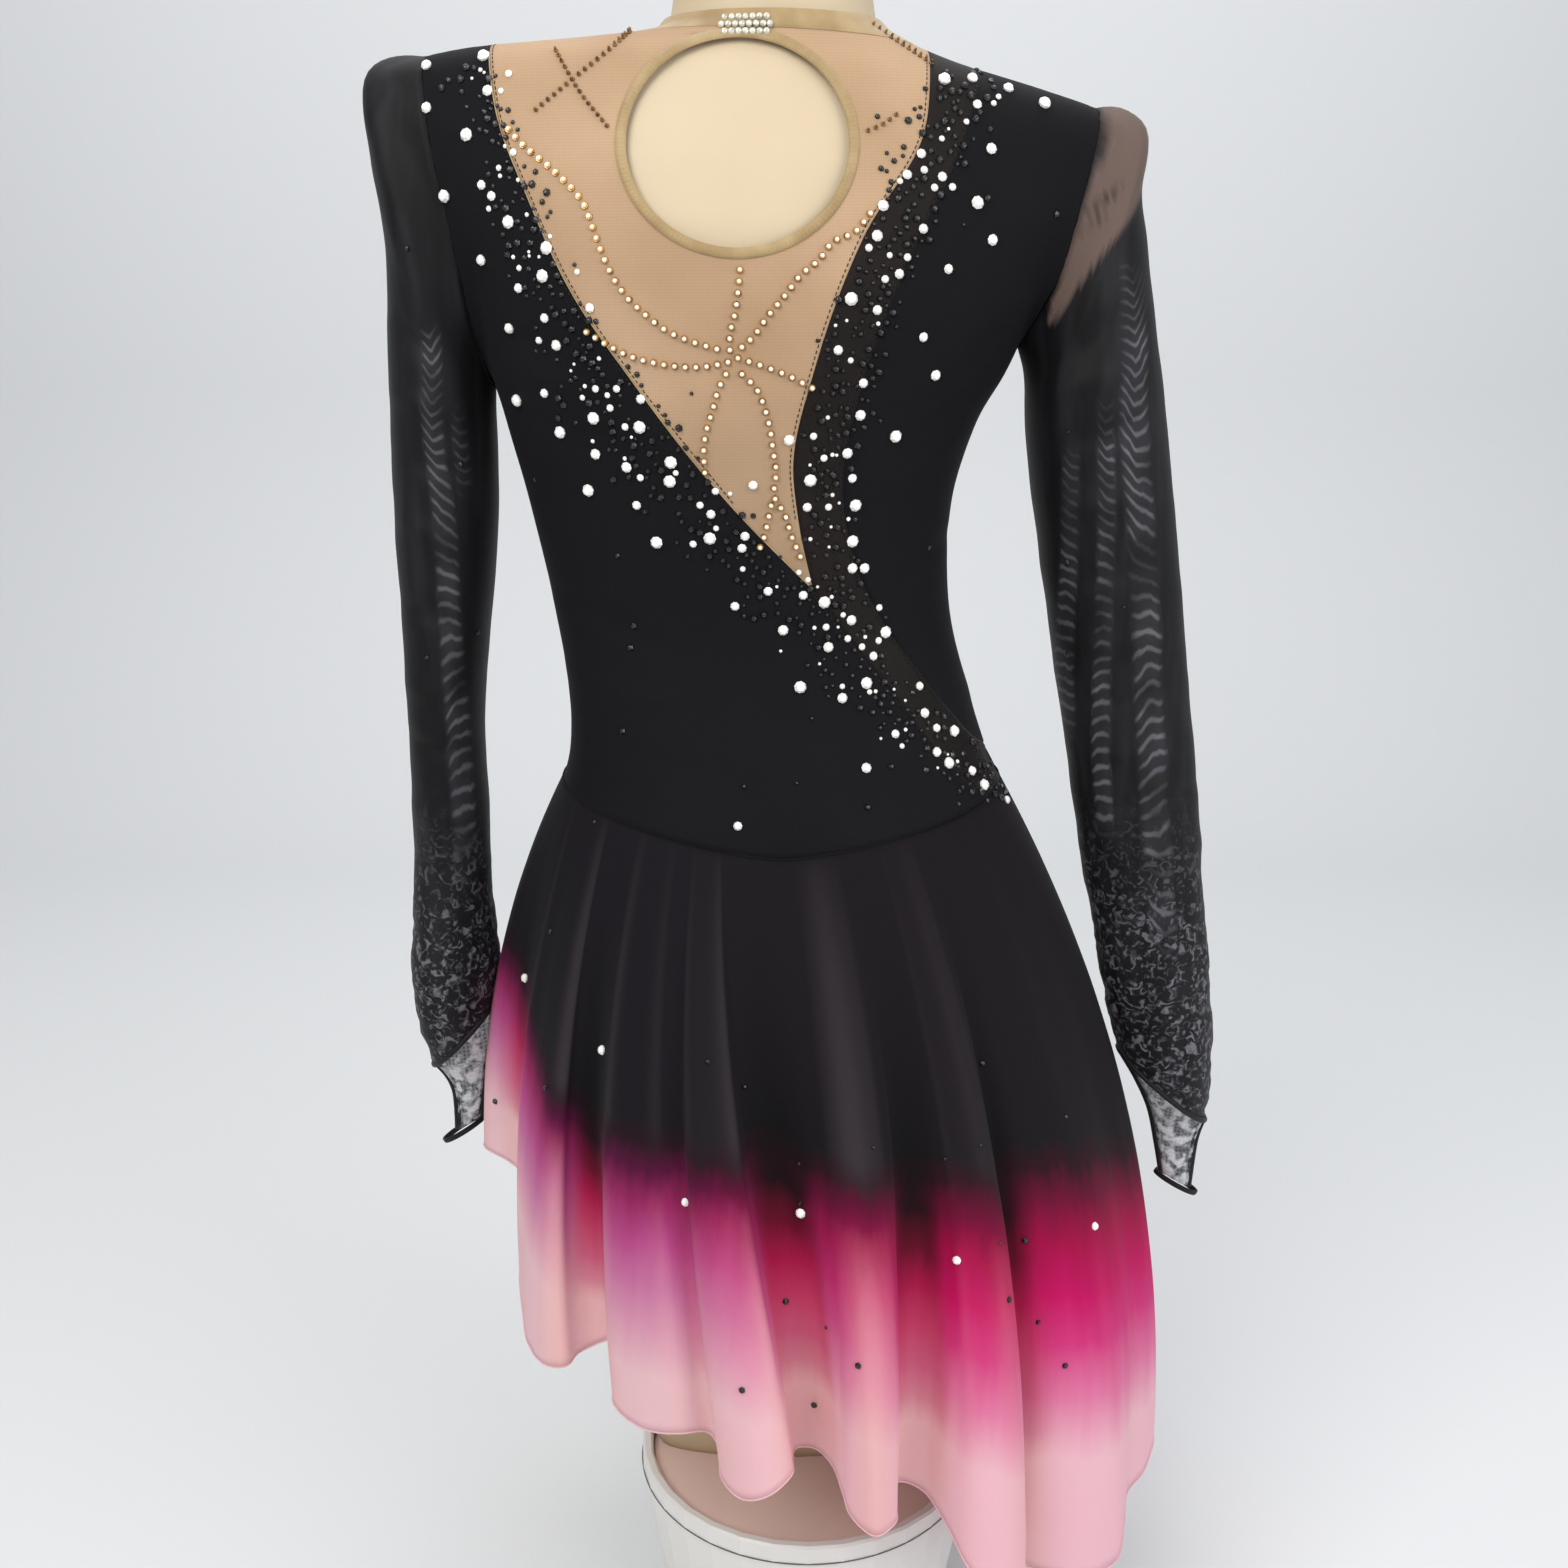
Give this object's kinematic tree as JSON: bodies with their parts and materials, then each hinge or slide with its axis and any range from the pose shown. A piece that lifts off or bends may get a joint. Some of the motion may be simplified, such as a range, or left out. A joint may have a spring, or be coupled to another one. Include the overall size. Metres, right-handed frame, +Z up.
{
  "type": "figure skating dress on a dress form",
  "caption": "Long-sleeved figure skating dress with a keyhole back and a flared uneven ombre skirt, worn by a limbless dress form on a round base.",
  "frame": {"origin": "on the floor, under the centre of the round base", "axes": "+Z up along the dress form, -Y towards the back of the dress, -X towards its shorter hem"},
  "size_m": [0.4975, 0.4142, 1.061],
  "materials": {
    "nude_mesh": "fine nude stretch mesh",
    "binding": "tan elastic binding",
    "crystal": "faceted crystals",
    "black_mesh": "sheer black mesh",
    "black_cloth": "matte black stretch cloth",
    "power_mesh": "black power mesh",
    "chiffon": "chiffon dyed black to pale pink",
    "form_shell": "cream matte shell",
    "white_plastic": "white satin",
    "taupe_plate": "taupe matte"
  },
  "bodies": {
    "root": {"back_yoke": "nude_mesh", "front_yoke": "nude_mesh", "keyhole_binding": "binding", "collar_binding": "binding", "neck_clasp": "crystal", "back_mesh_band": "black_mesh", "back_left_panel": "black_cloth", "back_right_panel": "black_cloth", "front_panel": "black_cloth", "left_sleeve_upper": "power_mesh", "left_sleeve_middle": "power_mesh", "left_sleeve_wrist": "power_mesh", "right_sleeve_upper": "power_mesh", "right_sleeve_middle": "power_mesh", "right_sleeve_wrist": "power_mesh", "left_hand_point": "power_mesh", "right_hand_point": "power_mesh", "left_finger_loop": "black_cloth", "right_finger_loop": "black_cloth", "skirt_back": "chiffon", "skirt_front": "chiffon", "dress_form": "form_shell", "base_drum": "white_plastic", "base_plate": "taupe_plate"}
  },
  "joints": []
}
